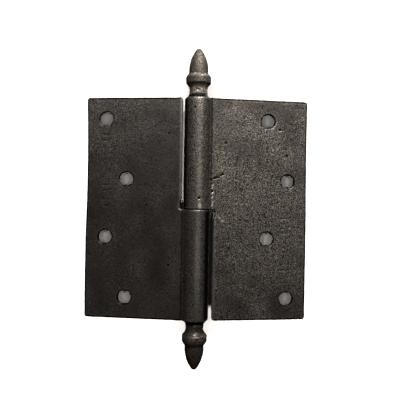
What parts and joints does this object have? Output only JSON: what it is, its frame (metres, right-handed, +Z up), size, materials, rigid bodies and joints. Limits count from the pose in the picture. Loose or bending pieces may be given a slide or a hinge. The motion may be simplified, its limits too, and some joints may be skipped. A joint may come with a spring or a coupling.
{
  "type": "lift-off butt hinge",
  "caption": "Cast-iron butt hinge with acorn finials: one leaf carries the lower knuckle and pin, the other turns on the pin and lifts off it; countersunk screw holes in each leaf.",
  "frame": {"origin": "on the pin axis, at the joint between the two knuckles, which is the middle of the hinge", "axes": "+Z up along the pin, the way the loose leaf lifts; +X towards the lift-off leaf; backs of the leaves face -Y and the countersunk fronts +Y, the way the hinge closes"},
  "size_m": [0.1154, 0.0138, 0.1656],
  "materials": {
    "fixed_leaf_iron": "dark brown-grey aged casting, fine sand grain",
    "lift_off_leaf_iron": "grey aged casting with a warm tinge, coarser sand grain and pits",
    "finial_iron": "aged casting, rubbed lighter on the ring and the acorn",
    "pin_steel": "plain drawn steel, dulled by old oil"
  },
  "bodies": {
    "fixed_half": {"fixed_leaf": "fixed_leaf_iron", "bottom_finial": "finial_iron"},
    "pin": {"hinge_pin": "pin_steel"},
    "lift_off_half": {"lift_off_leaf": "lift_off_leaf_iron", "top_finial": "finial_iron"}
  },
  "joints": [
    {"name": "swing", "type": "hinge", "parent": "fixed_half", "child": "pin", "pos_m": [0, 0, 0], "axis": [0, 0, 1], "range_deg": [-138, 165.6]},
    {"name": "lift_off", "type": "slide", "parent": "pin", "child": "lift_off_half", "axis": [0, 0, 1], "range_m": [0, 0.052]}
  ]
}
